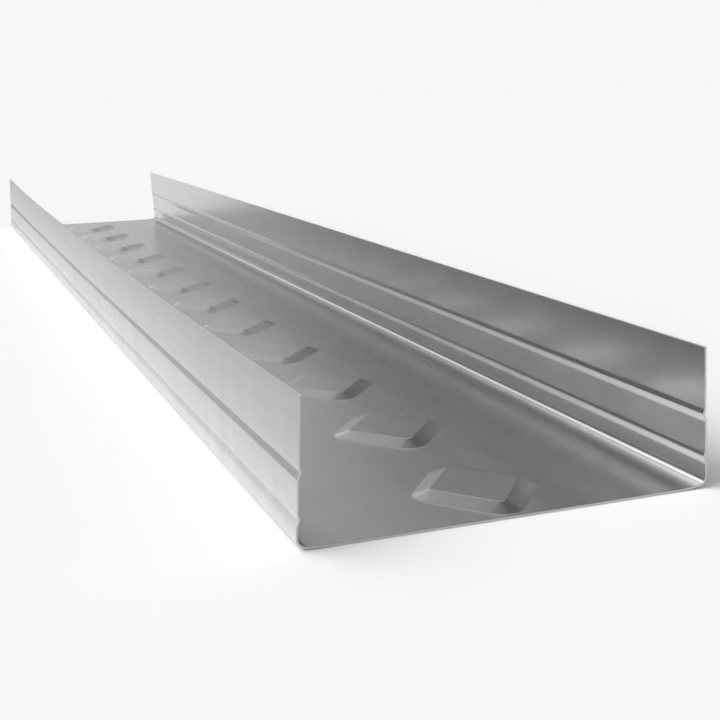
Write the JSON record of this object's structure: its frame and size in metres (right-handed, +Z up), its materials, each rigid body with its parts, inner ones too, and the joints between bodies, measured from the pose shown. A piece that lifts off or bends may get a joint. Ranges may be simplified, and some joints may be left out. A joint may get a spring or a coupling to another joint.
{
  "type": "drywall track",
  "caption": "Roll-formed steel drywall track: a shallow U channel with plain flanges, rolled beads along them and diamond pads down the web, which holds the ends of wall studs.",
  "frame": {"origin": "middle of the web's underside, halfway along the track", "axes": "+Y along the track, +X across the web, +Z up out of the open channel"},
  "size_m": [0.0944, 0.6096, 0.0318],
  "materials": {
    "galvanised_steel": "galvanised sheet, satin with a faint mottle"
  },
  "bodies": {
    "root": {"track": "galvanised_steel"}
  },
  "joints": []
}
